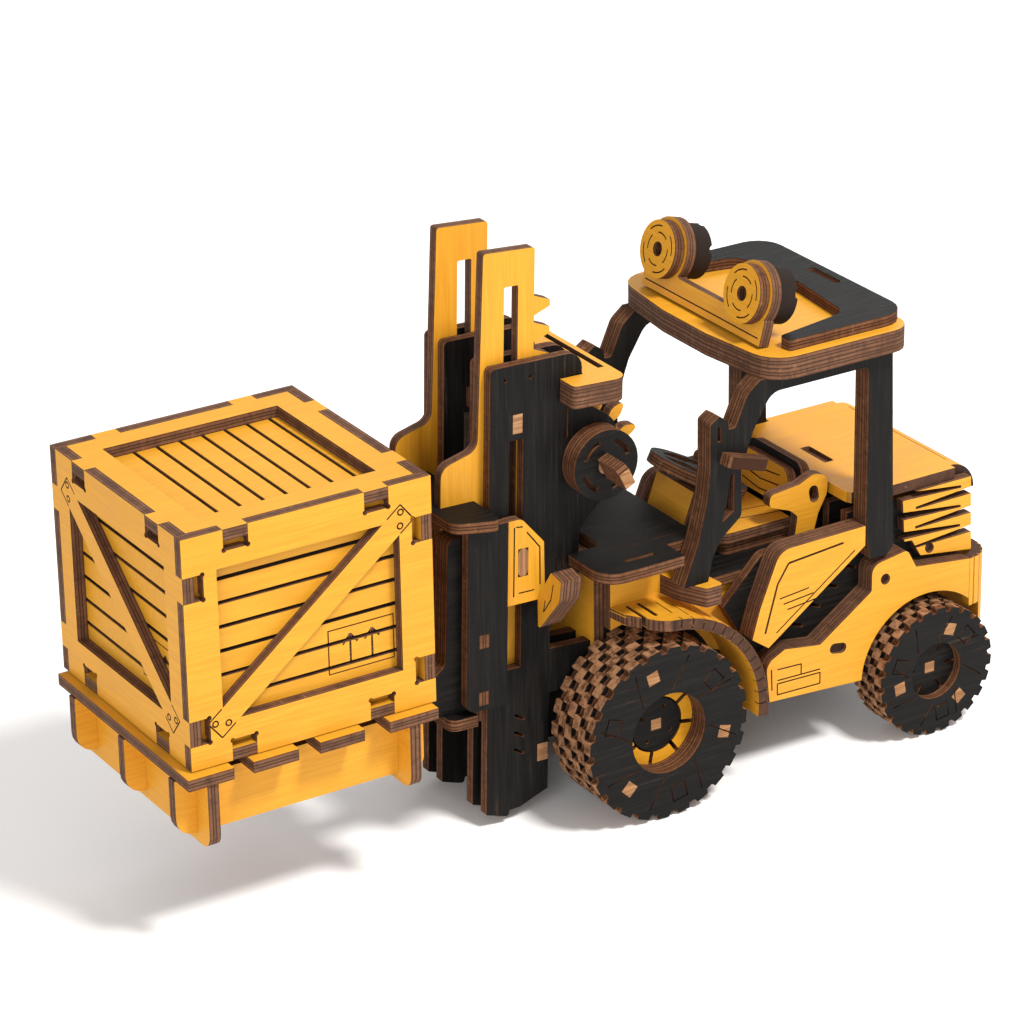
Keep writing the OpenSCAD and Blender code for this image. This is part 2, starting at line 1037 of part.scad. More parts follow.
module carriage_sides() {
    place() {
        color(black)
            leaning()
                pair_y(carriage_y)
                    difference() {
                        shape([[19.6, 30.4, 1], [19.6, 71.37], [29.2, 71.37], [29.2, 30.4, 2]]);
                        for (w = [46, 33])
                            box2d([25.15, w], [2.56, 3.06]);
                    }
    }
}

// Yellow side clamps, each keyed to its rack through the slot of the upright
module carriage_clamps() {
    place() {
        color(yellow)
            leaning() {
                difference() {
                    pair_y(clamp_y)
                        difference() {
                            shape([
                                [18, 70.2], [14.9, 70.2, 2], [9.4, 64, 1], [9, 52.8, 1],
                                [10.6, 51.2, 1], [18, 51.2], [26.3, 54, 2], [26.3, 68, 2]
                            ]);
                            box2d([14.4, 60.4], [2.46, 6.26]);
                        }
                    for (side = [0, 1])
                        mirror([0, side, 0])
                            across_y(clamp_y + ply - line_d, 1) {
                                stroke([10.2, 54.5], [10.4, 63]);
                                stroke([10.4, 63], [13.6, 67]);
                                stroke([16.6, 53], [16.6, 68.6]);
                                stroke([18.2, 53], [18.2, 68.6]);
                                stroke([11.6, 53.6], [15.4, 53.6]);
                                stroke([14.6, 68.4], [16.2, 68.6]);
                            }
                }
            }
        color(wood)
            leaning()
                pair_y(rack_y + ply + 0.02, clamp_y + ply - rack_y - ply - 0.02)
                    slot2d([14.4, 60.4], 6.2, 2.4, 90);
    }
}

// Cross bars of the carriage, their tenons flush with the side plates
module carriage_bars() {
    half = carriage_y;
    place() {
        color(black)
            leaning()
                across_x(23.9) {
                    box2d([0, 46], [2 * half - 0.04, 8]);
                    box2d([0, 46], [2 * half + 2 * ply, 3]);
                    box2d([0, 30.6], [2 * half - 0.04, 8]);
                    box2d([0, 33], [2 * half + 2 * ply, 3]);
                }
    }
}

fork_y = rack_y + ply + 0.1;
tine_top = 38.05;

// L-shaped forks, two sheets thick
module forks() {
    place() {
        color(black)
            difference() {
                pair_y(fork_y, 2 * ply)
                    shape([
                        [24.6, 70], [30, 70, 2], [31.2, 42, 2], [36, tine_top, 1],
                        [86, tine_top, 0.5], [89, 36.2, 0.6], [70, 33.2, 4], [31, 30.4, 3],
                        [25.8, 30.4]
                    ]);
                leaning()
                    translate([6.4, -20, 0])
                        cube([20, 40, 90]);
            }
    }
}

// ---------- Crank ----------

function involute(a) = tan(a) - a * PI / 180;
pinion_base = pinion_r * cos(21.5);

// Half the width of a pinion tooth, as an angle, at radius r
function tooth_half(r) =
    (1.22 / pinion_r + involute(21.5) - involute(acos(min(1, pinion_base / r)))) * 180 / PI;

module pinion_outline() {
    root = pinion_r - 2.2;
    radii = [root, pinion_base, pinion_r, pinion_r + 0.9, pinion_r + 1.65];
    difference() {
        polygon([
            for (i = [0:pinion_teeth - 1])
            let (mid = (i + 0.5) * 360 / pinion_teeth)
            each [
                for (k = [0:4])
                radii[k] * [
                    cos(mid - tooth_half(max(radii[k], pinion_base)) + (k == 0 ? 1.2 : 0)),
                    sin(mid - tooth_half(max(radii[k], pinion_base)) + (k == 0 ? 1.2 : 0))
                ],
                for (k = [4:-1:0])
                radii[k] * [
                    cos(mid + tooth_half(max(radii[k], pinion_base)) - (k == 0 ? 1.2 : 0)),
                    sin(mid + tooth_half(max(radii[k], pinion_base)) - (k == 0 ? 1.2 : 0))
                ]
            ]
        ]);
        circle(r = crank_r + fit, $fn = 48);
    }
}

module crank_pinions() {
    place() {
        color(yellow)
            leaning()
                pair_y(rack_y)
                    translate(crank_pos)
                        pinion_outline();
    }
}

module crank_axle() {
    place() {
        color(wood)
            leaning()
                bar_y(crank_pos, -14.4, clamp_y + 2 * ply, crank_r);
    }
}

knob_face = clamp_y + 2 * ply + 0.01;

module crank_knob() {
    place() {
        color(black)
            leaning()
                translate([crank_pos.x, 0, crank_pos.y]) {
                    difference() {
                        across_y(clamp_y, 2 * ply) {
                            difference() {
                                circle(r = knob_r, $fn = 64);
                                circle(r = crank_r + fit, $fn = 48);
                            }
                        }
                        across_y(clamp_y + 2 * ply - 1, 3)
                            for (i = [0:3])
                                rotate(i * 90 + 20)
                                    polygon([
                                        for (a = [0:6]) 6 * [cos(a * 9), sin(a * 9)],
                                        for (a = [6:-1:0]) 4.9 * [cos(a * 9), sin(a * 9)]
                                    ]);
                    }
                    rotate([0, 27, 0])
                        across_x(-ply / 2)
                            shape([
                                [knob_face, -2.6], [knob_face + 7.6, -2.6, 0.6],
                                [knob_face + 7.6, 1.6], [knob_face + 6.4, 2.6],
                                [knob_face, 2.6]
                            ]);
                }
    }
}

// ---------- Wheels ----------

// Tyre outline with saw-cut tread; turn shifts the teeth of one sheet
module tread(r, count, turn) {
    polygon([
        for (i = [0:count - 1])
        let (a = (i + turn) * 360 / count, s = 360 / count)
        each [
            r * [cos(a), sin(a)],
            r * [cos(a + 0.55 * s), sin(a + 0.55 * s)],
            (r - 1.1) * [cos(a + 0.62 * s), sin(a + 0.62 * s)],
            (r - 1.1) * [cos(a + 0.93 * s), sin(a + 0.93 * s)]
        ]
    ]);
}

module tyre(pos, r, hole, y_out, plies, tenon_r, tenon) {
    difference() {
        for (i = [0:plies - 1])
            across_y(y_out - (i + 1) * ply)
                translate(pos)
                    tread(r, 24, i * 0.37);
        bar_y(pos, 0, 40, hole);
        for (a = [20, 140, 260])
            across_y(y_out - 0.5, 1)
                translate(pos)
                    rotate(a)
                        difference() {
                            box2d([tenon_r, 0], [tenon + 0.6, tenon + 0.6]);
                            box2d([tenon_r, 0], [tenon, tenon]);
                        }
        for (a = [0:7])
            across_y(y_out - line_d, 1)
                translate(pos)
                    rotate(a * 45 + 12)
                        stroke([hole + 0.8, -1.2], [r - 2.2, 1.4]);
    }
}

module front_tyre_left() {
    place() {
        color(black)
            tyre(front_axle_pos, front_r, tyre_hole_r, track_half, front_plies, 14.7, 3.3);
    }
}

module front_tyre_right() {
    right()
        front_tyre_left();
}

module rear_tyre_left() {
    place() {
        color(black)
            tyre(rear_axle_pos, rear_r, rear_hole_r, track_half, rear_plies, 10.4, 3);
    }
}

module rear_tyre_right() {
    right()
        rear_tyre_left();
}

// Hub sheets that sit inside the tyre, with a segmented ring in front
module front_hubs() {
    hub_y = track_half - front_plies * ply;
    place() {
        for (side = [0, 1])
            mirror([0, side, 0]) {
                color(black)
                    across_y(hub_y, 3 * ply)
                        translate(front_axle_pos)
                            difference() {
                                circle(r = tyre_hole_r - fit, $fn = 64);
                                circle(r = axle_r + fit, $fn = 48);
                            }
                color(yellow)
                    across_y(hub_y + 3 * ply)
                        translate(front_axle_pos)
                            difference() {
                                circle(r = tyre_hole_r - fit, $fn = 64);
                                circle(r = 6.4, $fn = 64);
                                for (a = [0:7])
                                    rotate(a * 45 + 10)
                                        translate([7.6, 0])
                                            square([4, 0.9], center = true);
                            }
                color(black)
                    across_y(hub_y + 3 * ply)
                        translate(front_axle_pos)
                            difference() {
                                circle(r = 6, $fn = 64);
                                circle(r = axle_r + fit, $fn = 48);
                                for (a = [0:3])
                                    rotate(a * 90 + 30)
                                        translate([4.2, 0])
                                            circle(r = 0.5, $fn = 16);
                            }
            }
    }
}

module rear_hubs() {
    hub_y = track_half - rear_plies * ply;
    place() {
        for (side = [0, 1])
            mirror([0, side, 0]) {
                color(black)
                    across_y(hub_y, 2 * ply)
                        translate(rear_axle_pos)
                            difference() {
                                circle(r = rear_hole_r - fit, $fn = 64);
                                circle(r = axle_r + fit, $fn = 48);
                            }
                color(yellow)
                    across_y(hub_y + 2 * ply)
                        translate(rear_axle_pos)
                            difference() {
                                circle(r = rear_hole_r - fit, $fn = 64);
                                circle(r = axle_r + fit, $fn = 48);
                                for (a = [0:5])
                                    rotate(a * 60)
                                        translate([5.6, 0])
                                            square([3, 0.8], center = true);
                            }
            }
    }
}

module front_axle() {
    half = track_half - front_plies * ply + 4 * ply;
    place() {
        color(wood)
            bar_y(front_axle_pos, -half, half, axle_r);
    }
}

module rear_axle() {
    half = track_half - rear_plies * ply + 3 * ply;
    place() {
        color(wood)
            bar_y(rear_axle_pos, -half, half, axle_r);
    }
}

// ---------- Pallet ----------

boards = [[41, 52.3], [58.2, 68.4], [73.3, 83.5], [87.9, 98.1]];

module pallet_deck() {
    place() {
        color(yellow)
            difference() {
                for (b = boards)
                    level(pallet_top - ply)
                        translate([b[0], -28.5])
                            square([b[1] - b[0], 57]);
                for (b = boards, y = [-21.75, 0, 21.75])
                    level(pallet_top - 0.5, 1)
                        difference() {
                            box2d([(b[0] + b[1]) / 2, y], [4.4, ply + 0.5]);
                            box2d([(b[0] + b[1]) / 2, y], [4, ply]);
                        }
            }
    }
}

module pallet_stringers() {
    place() {
        color(yellow)
            for (y = [-21.75, 0, 21.75])
                across_y(y - ply / 2)
                    difference() {
                        shape([
                            [41.5, stringer_z, 2], [98.5, stringer_z, 4],
                            [98.5, pallet_top - ply - eps], [41.5, pallet_top - ply - eps]
                        ]);
                        box2d([92.55, stringer_z + 2], [ply + 0.06, 9]);
                        box2d([46.25, stringer_z + 2], [ply + 0.06, 9]);
                    }
    }
}

// Cross skirts, halved over the stringers and open where the forks go in
module pallet_skirts() {
    top = pallet_top - ply - eps;
    place() {
        color(yellow) {
            across_x(91.3)
                difference() {
                    shape([
                        [-28, pallet_skirt_z, 3], [28, pallet_skirt_z, 3], [28, top], [-28, top]
                    ]);
                    for (y = [-21.75, 0, 21.75])
                        box2d([y, top], [ply + 0.06, 2 * (top - stringer_z - 6.5) + 0.06]);
                }
            across_x(45)
                difference() {
                    shape([
                        [-28, pallet_skirt_z, 3], [28, pallet_skirt_z, 3], [28, top], [-28, top]
                    ]);
                    for (y = [-21.75, 0, 21.75])
                        box2d([y, top], [ply + 0.06, 2 * (top - stringer_z - 6.5) + 0.06]);
                    for (side = [-1, 1])
                        box2d([side * 10.9, top - 3.5], [18, 13.1]);
                }
        }
    }
}

// ---------- Crate ----------

crate_w = 56;
inner_w = crate_w - 2 * ply;
lid_w = crate_len - 2 * ply;
tab_w = 5.5;
notch_depth = 4.6;
tab_at = [12.5, 44];
end_tab_z = [8, 39];
frame_low = [7.5, 9];
frame_high = [7.5, 8];

// Notch that opens at an edge, with the round corners a laser leaves
module notch2d(c, angle) {
    translate(c)
        rotate(angle) {
            translate([-tab_w / 2 - fit, -1])
                square([tab_w + 2 * fit, notch_depth + 1]);
            for (side = [-1, 1])
                translate([side * (tab_w / 2 - 0.1), notch_depth - 0.2])
                    circle(r = 0.55, $fn = 12);
        }
}

// Ends of the diagonal board of a panel w wide and h high
function diagonal(w, h, slant) =
    let (
        a = frame_low,
        b = [w, h] - frame_high
    )
    slant > 0 ? [a, b] : [[b.x, a.y], [a.x, b.y]];

// Panel with an open middle that one diagonal board crosses
module crate_face(w, h, slant) {
    ends = diagonal(w, h, slant);
    reach = 0.1 * (ends[1] - ends[0]);
    difference() {
        square([w, h]);
        translate(frame_low)
            square([w, h] - frame_high - frame_low);
    }
    intersection() {
        translate(frame_low - [1, 1])
            square([w, h] - frame_high - frame_low + [2, 2]);
        stroke(ends[0] - reach, ends[1] + reach, 4.8);
    }
}

// Engraved joint lines and screw heads at both ends of the diagonal
module crate_marks(w, h, slant) {
    ends = diagonal(w, h, slant);
    d = unit(ends[1] - ends[0]);
    n = [-d.y, d.x];
    for (k = [0, 1]) {
        inward = (k == 0 ? 1 : -1) * d;
        e = ends[k];
        stroke(e - 2.4 * n - 2.4 * inward, e + 2.4 * n - 2.4 * inward);
        for (side = [-1, 1]) {
            stroke(e + side * 2.4 * n - 2.4 * inward, e + side * 2.4 * n + 1.6 * inward);
            translate(e + side * 1.1 * n + (side - 0.4) * inward)
                difference() {
                    circle(r = 0.8, $fn = 12);
                    circle(r = 0.45, $fn = 12);
                }
        }
    }
}

// Side panels: full length, notched for the tabs of the ends and lids
module crate_side(slant) {
    difference() {
        across_y(0)
            difference() {
                crate_face(crate_len, crate_h, slant);
                for (z = end_tab_z) {
                    notch2d([0, z], -90);
                    notch2d([crate_len, z], 90);
                }
                for (x = tab_at) {
                    notch2d([x, 0], 0);
                    notch2d([x, crate_h], 180);
                }
            }
        across_y(ply - line_d, 1)
            crate_marks(crate_len, crate_h, slant);
    }
}

module crate_sides() {
    color(yellow)
        place()
            translate([crate_x, crate_y, crate_z])
                for (side = [0, 1])
                    mirror([0, side, 0])
                        translate([0, crate_w / 2 - ply, 0])
                            crate_side(-1);
}

// End panel between the sides, drawn with its outer face forward
module crate_end(slant) {
    difference() {
        across_x(0)
            difference() {
                union() {
                    intersection() {
                        crate_face(crate_w, crate_h, slant);
                        translate([ply + 0.02, 0])
                            square([inner_w - 0.04, crate_h]);
                    }
                    for (z = end_tab_z, side = [0, 1])
                        translate([side * (crate_w - ply - 1), z - tab_w / 2])
                            square([ply + 1, tab_w]);
                }
                for (y = tab_at) {
                    notch2d([y, 0], 0);
                    notch2d([y, crate_h], 180);
                }
            }
        across_x(ply - line_d, 1)
            crate_marks(crate_w, crate_h, slant);
    }
}

module crate_ends() {
    color(yellow)
        place()
            translate([crate_x + crate_len / 2, crate_y - crate_w / 2, crate_z])
                for (side = [0, 1])
                    mirror([side, 0, 0])
                        translate([crate_len / 2 - ply, 0, 0])
                            crate_end(-1);
}

// Top and bottom frames, flush with the panels, one tab in every notch
module crate_lids() {
    color(yellow)
        place()
            for (z = [0, crate_h - ply])
                translate([crate_x + ply, crate_y - inner_w / 2, crate_z + z])
                    linear_extrude(ply)
                        difference() {
                            union() {
                                translate([0.02, 0.02])
                                    square([lid_w - 0.04, inner_w - 0.04]);
                                for (p = tab_at) {
                                    translate([p - ply - tab_w / 2, -ply])
                                        square([tab_w, inner_w + 2 * ply]);
                                    translate([-ply, p - ply - tab_w / 2])
                                        square([lid_w + 2 * ply, tab_w]);
                                }
                            }
                            translate([5.4, 5.4])
                                square([lid_w - 10.8, inner_w - 10.8]);
                        }
}

liner_t = 1;
slat = 5.2;
slat_gap = 0.9;

// Plain label: a frame with two upward arrows
module label2d() {
    for (p = [[0, 0], [0, 9.6]])
        stroke(p - [0.16, 0], p + [15.16, 0]);
    for (p = [[0, 0], [15, 0]])
        stroke(p, p + [0, 9.6]);
    for (x = [5, 10]) {
        stroke([x, 1.8], [x, 7.8], 0.5);
        stroke([x - 1.7, 5.8], [x, 7.9], 0.5);
        stroke([x + 1.7, 5.8], [x, 7.9], 0.5);
    }
    stroke([3, 1.5], [12, 1.5], 0.4);
}

// Thin slatted box inside, a sheet behind every panel
module crate_liner() {
    half = lid_w / 2 - 0.05;
    high = crate_h - 2 * ply - 0.1;
    color(yellow)
        place()
            translate([crate_x + crate_len / 2, crate_y, crate_z + ply + 0.05])
                difference() {
                    translate([-half, -half, 0])
                        cube([2 * half, 2 * half, high]);
                    translate([liner_t - half, liner_t - half, liner_t])
                        cube([2 * (half - liner_t), 2 * (half - liner_t), high - 2 * liner_t]);
                    for (i = [0:6])
                        translate([0, 0, 9.6 + i * slat]) {
                            translate([4 - half, -half - 1, 0])
                                cube([2 * half - 8, 2 * half + 2, slat_gap]);
                            translate([-half - 1, 4 - half, 0])
                                cube([2 * half + 2, 2 * half - 8, slat_gap]);
                        }
                    for (i = [-4:3])
                        translate([(i + 0.5) * slat - slat_gap / 2, 5 - half, -1])
                            cube([slat_gap, 2 * half - 10, high + 2]);
                    for (turn = [0, 90])
                        rotate(turn)
                            for (side = [0, 1])
                                mirror([0, side, 0])
                                    across_y(half - line_d, 1)
                                        translate([turn == 0 ? -20 : 4, 8.6 + 0 * side])
                                            label2d();
                }
}

// ---------- Nodes ----------

chassis_sides();
chassis_cross();
deck_plate();
fender_walls();
fender_left();
fender_right();
steps();
cab_frame_left();
cab_frame_right();
door_panels();
body_side_left();
body_side_right();
skirt_left();
skirt_right();
grilles();
bonnet();
rear_panel();
roof_base();
roof_top();
light_bar();
lamps();
console_sides();
console_face();
seat_base();
seat_cushion();
seat_back();
armrests();
cab_floor();
mast_outer_left();
mast_outer_right();
mast_inner();
mast_brace();
mast_spacers();
mast_cleats();
rack_left();
rack_right();
carriage_top();
carriage_sides();
carriage_clamps();
carriage_bars();
forks();
crank_axle();
crank_pinions();
crank_knob();
front_axle();
front_tyre_left();
front_tyre_right();
front_hubs();
rear_axle();
rear_tyre_left();
rear_tyre_right();
rear_hubs();
steering_wheel();
pallet_deck();
pallet_stringers();
pallet_skirts();
crate_ends();
crate_sides();
crate_lids();
crate_liner();
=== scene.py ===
import math

import bpy
from mathutils import Matrix, Vector


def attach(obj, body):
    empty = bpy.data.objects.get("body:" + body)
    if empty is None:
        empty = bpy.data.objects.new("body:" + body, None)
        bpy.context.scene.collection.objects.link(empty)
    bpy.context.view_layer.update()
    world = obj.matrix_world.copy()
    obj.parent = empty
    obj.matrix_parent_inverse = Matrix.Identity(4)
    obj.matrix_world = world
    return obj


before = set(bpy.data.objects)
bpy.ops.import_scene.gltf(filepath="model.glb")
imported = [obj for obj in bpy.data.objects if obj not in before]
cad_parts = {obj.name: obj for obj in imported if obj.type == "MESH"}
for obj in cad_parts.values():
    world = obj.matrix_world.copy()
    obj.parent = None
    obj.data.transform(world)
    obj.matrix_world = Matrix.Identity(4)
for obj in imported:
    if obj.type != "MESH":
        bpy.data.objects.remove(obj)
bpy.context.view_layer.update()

# Lengths are in mm in the part's frame: X forward, Y to the driver's left, Z up.
MM = 0.001
PLY = 2.5

X = (1.0, 0.0, 0.0)
Y = (0.0, 1.0, 0.0)
Z = (0.0, 0.0, 1.0)


def tilted_x(degrees):
    """X tipped up by an angle."""
    a = math.radians(degrees)
    return (math.cos(a), 0.0, math.sin(a))


def tilted_z(degrees):
    """Z tipped back by an angle."""
    a = math.radians(degrees)
    return (-math.sin(a), 0.0, math.cos(a))


# ---------------------------------------------------------------- places on the toy

SHIFT = 1.9
MAST_FOOT = (SHIFT, 0.0, 0.0)
MAST_LEAN = 1.75
MAST_X = tilted_x(MAST_LEAN)
MAST_Z = tilted_z(MAST_LEAN)
PIN_OUT = 14.4
PIN_UP = 60.4
CLAMP_PIN = (
    PIN_OUT * MAST_X[0] + PIN_UP * MAST_Z[0] + SHIFT,
    0.0,
    PIN_OUT * MAST_X[2] + PIN_UP * MAST_Z[2],
)
FRONT_AXLE = (-14.1 + SHIFT, 0.0, 19.8)
REAR_AXLE = (-84.2 + SHIFT, 0.0, 15.0)
FRONT_R = 19.8
REAR_R = 15.0
FENDER_R = 25.7
FENDER_TOP = 45.5
LAMP_AXIS = tilted_x(15)
ROOF_BAR = (-41.6 + SHIFT, 0.0, 97.53)
CONSOLE_AXIS = tilted_x(20)
CONSOLE_FOOT = (-34.2 + SHIFT, 0.0, 49.5)
SEAT_AXIS = tilted_x(12)
SEAT_FOOT = (-61.0 + SHIFT, 0.0, 46.53)
WHEEL_AXIS = tilted_z(27)
WHEEL_HUB = (-42.0 + SHIFT, 0.0, 62.8)
BONNET_SLOT = (-73.0 + SHIFT, 0.0, 0.0)
CRATE_MID = (68.0 + SHIFT, -2.0, 65.85)
LINER_HALF = 25.45
LINER_HALF_HIGH = 22.45

# ---------------------------------------------------------------- colours

YELLOW = "yellow"
BLACK = "black"
BARE = "bare"
EDGE_LIGHT = (0.165, 0.070, 0.032)
EDGE_MID = (0.085, 0.033, 0.014)
EDGE_DARK = (0.020, 0.008, 0.004)
EDGE_HIGHLIGHT = (0.42, 0.235, 0.130)
EDGE_CHAR = (0.052, 0.020, 0.009)
DRUM_CHAR = (0.020, 0.013, 0.010)
TREAD_TAN = (0.330, 0.165, 0.080)
TREAD_GAP_SHADE = (0.012, 0.006, 0.004)
GROOVE = (0.040, 0.014, 0.006)
# painted shade for the inside of the crate, seen through its slots
PAINTED_SHADE_INSIDE = (0.012, 0.007, 0.005)
PAPER = (0.94, 0.94, 0.94)
PLY_BANDS = (
    (0.00, EDGE_DARK), (0.06, EDGE_MID), (0.12, EDGE_LIGHT), (0.29, EDGE_LIGHT),
    (0.35, EDGE_DARK), (0.42, EDGE_MID), (0.50, EDGE_LIGHT), (0.58, EDGE_MID),
    (0.65, EDGE_DARK), (0.71, EDGE_LIGHT), (0.88, EDGE_LIGHT), (0.95, EDGE_MID),
    (1.00, EDGE_DARK),
)

# ---------------------------------------------------------------- node helpers


class Graph:
    """Short calls for building one material's nodes."""

    def __init__(self, name):
        self.mat = bpy.data.materials.new(name)
        self.mat.use_nodes = True
        self.tree = self.mat.node_tree
        self.bsdf = self.tree.nodes["Principled BSDF"]
        coord = self.tree.nodes.new("ShaderNodeTexCoord")
        self.p = self.vmath("SCALE", coord.outputs["Object"], scale=1.0 / MM)
        self.n = self.tree.nodes.new("ShaderNodeNewGeometry").outputs["Normal"]

    def link(self, value, socket):
        if isinstance(value, bpy.types.NodeSocket):
            self.tree.links.new(value, socket)
        else:
            socket.default_value = value

    def vmath(self, op, a, b=None, scale=None):
        node = self.tree.nodes.new("ShaderNodeVectorMath")
        node.operation = op
        self.link(a, node.inputs[0])
        if b is not None:
            self.link(b, node.inputs[1])
        if scale is not None:
            node.inputs["Scale"].default_value = scale
        return node.outputs["Value" if op in ("DOT_PRODUCT", "LENGTH") else "Vector"]

    def math(self, op, a, b=None):
        node = self.tree.nodes.new("ShaderNodeMath")
        node.operation = op
        self.link(a, node.inputs[0])
        if b is not None:
            self.link(b, node.inputs[1])
        return node.outputs[0]

    def times(self, a, b):
        return self.math("MULTIPLY", a, b)

    def minus(self, a, b):
        return self.math("SUBTRACT", a, b)

    def either(self, a, b):
        return self.math("MAXIMUM", a, b)

    def unsigned(self, a):
        return self.math("ABSOLUTE", a)

    def ramp(self, value, low, high, to_low=0.0, to_high=1.0):
        node = self.tree.nodes.new("ShaderNodeMapRange")
        node.interpolation_type = "SMOOTHSTEP"
        self.link(value, node.inputs["Value"])
        node.inputs["From Min"].default_value = low
        node.inputs["From Max"].default_value = high
        node.inputs["To Min"].default_value = to_low
        node.inputs["To Max"].default_value = to_high
        return node.outputs["Result"]

    def mix(self, factor, a, b):
        node = self.tree.nodes.new("ShaderNodeMix")
        node.data_type = "RGBA"
        self.link(factor, node.inputs[0])
        for value, socket in ((a, node.inputs[6]), (b, node.inputs[7])):
            self.link((*value, 1.0) if isinstance(value, tuple) else value, socket)
        return node.outputs[2]

    def noise(self, vector, scale, detail, rough):
        node = self.tree.nodes.new("ShaderNodeTexNoise")
        self.link(vector, node.inputs["Vector"])
        node.inputs["Scale"].default_value = scale
        node.inputs["Detail"].default_value = detail
        node.inputs["Roughness"].default_value = rough
        return node.outputs["Fac"]

    def bands(self, value, stops):
        node = self.tree.nodes.new("ShaderNodeValToRGB")
        self.link(value, node.inputs["Fac"])
        ramp = node.color_ramp
        while len(ramp.elements) < len(stops):
            ramp.elements.new(0.5)
        for element, (at, colour) in zip(ramp.elements, stops):
            element.position = at
            element.color = (*colour, 1.0)
        return node.outputs["Color"]

    def join(self, *parts):
        """One vector from three numbers."""
        node = self.tree.nodes.new("ShaderNodeCombineXYZ")
        for part, socket in zip(parts, node.inputs):
            self.link(part, socket)
        return node.outputs[0]

    def along(self, axis, origin=(0.0, 0.0, 0.0)):
        """Distance in mm along axis from origin."""
        return self.vmath("DOT_PRODUCT", self.vmath("SUBTRACT", self.p, origin), axis)

    def from_axle(self, centre):
        """Distance in mm from the line along Y through centre."""
        flat = self.vmath("MULTIPLY", self.vmath("SUBTRACT", self.p, centre), (1.0, 0.0, 1.0))
        return self.vmath("LENGTH", flat)

    def step_above(self, value, limit):
        """1 where value is over limit."""
        return self.ramp(value, limit - 0.05, limit + 0.05)

    def step_below(self, value, limit):
        """1 where value is under limit."""
        return self.ramp(value, limit - 0.03, limit + 0.03, 1.0, 0.0)

    def near(self, value, plane):
        """1 where value lies on the plane."""
        return self.step_below(self.unsigned(self.minus(value, plane)), 0.12)


# ---------------------------------------------------------------- regions of a piece
# Each of these returns a function of the graph that gives 1 inside its region.


def beyond(axis, origin, limit):
    """All that lies further along axis than limit."""
    return lambda g: g.step_above(g.along(axis, origin), limit)


def box(centre, axis_a, half_a, axis_b, half_b):
    """A rectangle that runs right through the piece."""
    def mask(g):
        a = g.step_below(g.unsigned(g.along(axis_a, centre)), half_a)
        b = g.step_below(g.unsigned(g.along(axis_b, centre)), half_b)
        return g.times(a, b)
    return mask


def ring(centre, radius, limit):
    """Outside a radius about an axle, past limit from the toy's middle plane."""
    def mask(g):
        outside = g.step_above(g.from_axle(centre), radius)
        return g.times(outside, g.step_above(g.unsigned(g.along(Y)), limit))
    return mask


def pegs(centre, radius, size, turns):
    """Square peg ends in a tyre's face, at angles about its axle."""
    def mask(g):
        total = 0.0
        for turn in turns:
            out, across = tilted_x(turn), tilted_z(turn)
            peg = tuple(a + radius * b for a, b in zip(centre, out))
            total = g.either(total, box(peg, out, size / 2, across, size / 2)(g))
        return total
    return mask


def fender_skin(g):
    """The arc's two faces and the flat front of the bent fender."""
    r = g.from_axle(FRONT_AXLE)
    z = g.along(Z)
    arc = g.either(g.near(r, FENDER_R), g.near(r, FENDER_R - PLY))
    return g.either(arc, g.either(g.near(z, FENDER_TOP), g.near(z, FENDER_TOP - PLY)))


def liner_skin(g):
    """Outer faces of the slatted box."""
    x, y, z = (g.unsigned(g.along(axis, CRATE_MID)) for axis in (X, Y, Z))
    sides = g.either(g.near(x, LINER_HALF), g.near(y, LINER_HALF))
    return g.either(sides, g.near(z, LINER_HALF_HIGH))


def bonnet_skin(g):
    """All of the hood but its recessed slot."""
    return g.minus(1.0, box(BONNET_SLOT, X, 1.25, Y, 4.75)(g))


# ---------------------------------------------------------------- plywood


def other_axes(axis):
    """Two directions in the plane of a sheet."""
    a = Vector(axis)
    side = Vector(X) if abs(a.y) > 0.7 or abs(a.z) > 0.7 else Vector(Y)
    side = (side - a * side.dot(a)).normalized()
    return tuple(side), tuple(a.cross(side))


def yellow_paint(g, fibre, cloud):
    colour = g.mix(g.ramp(fibre, 0.30, 0.72), (0.600, 0.262, 0.012), (0.690, 0.325, 0.022))
    colour = g.mix(g.ramp(cloud, 0.35, 0.7, 0.0, 0.3), colour, (0.64, 0.275, 0.012))
    return colour, g.ramp(fibre, 0.3, 0.7, 0.50, 0.62)


def black_paint(g, fibre, cloud):
    colour = g.mix(g.ramp(fibre, 0.34, 0.74), (0.0030, 0.0026, 0.0024), (0.0125, 0.0105, 0.0092))
    scuff = g.times(g.ramp(fibre, 0.60, 0.74), g.ramp(cloud, 0.46, 0.60))
    colour = g.mix(g.times(scuff, 0.5), colour, (0.075, 0.046, 0.030))
    return colour, g.ramp(fibre, 0.3, 0.7, 0.52, 0.70)


def bare_wood(g, fibre, _cloud):
    colour = g.mix(g.ramp(fibre, 0.32, 0.7), (0.20, 0.088, 0.034), (0.42, 0.215, 0.095))
    return colour, g.ramp(fibre, 0.3, 0.7, 0.60, 0.75)


FACES = {YELLOW: yellow_paint, BLACK: black_paint, BARE: bare_wood}


def sheet_face(g, paint, grain, cross, axis):
    """Colour, roughness and relief of a sheet's face, over fine grain."""
    stretched = g.join(g.times(g.along(grain), 0.045), g.along(cross), g.times(g.along(axis), 0.35))
    fibre = g.noise(stretched, 1.6, 5.0, 0.62)
    cloud = g.noise(g.p, 0.055, 3.0, 0.5)
    return (*FACES[paint](g, fibre, cloud), fibre)


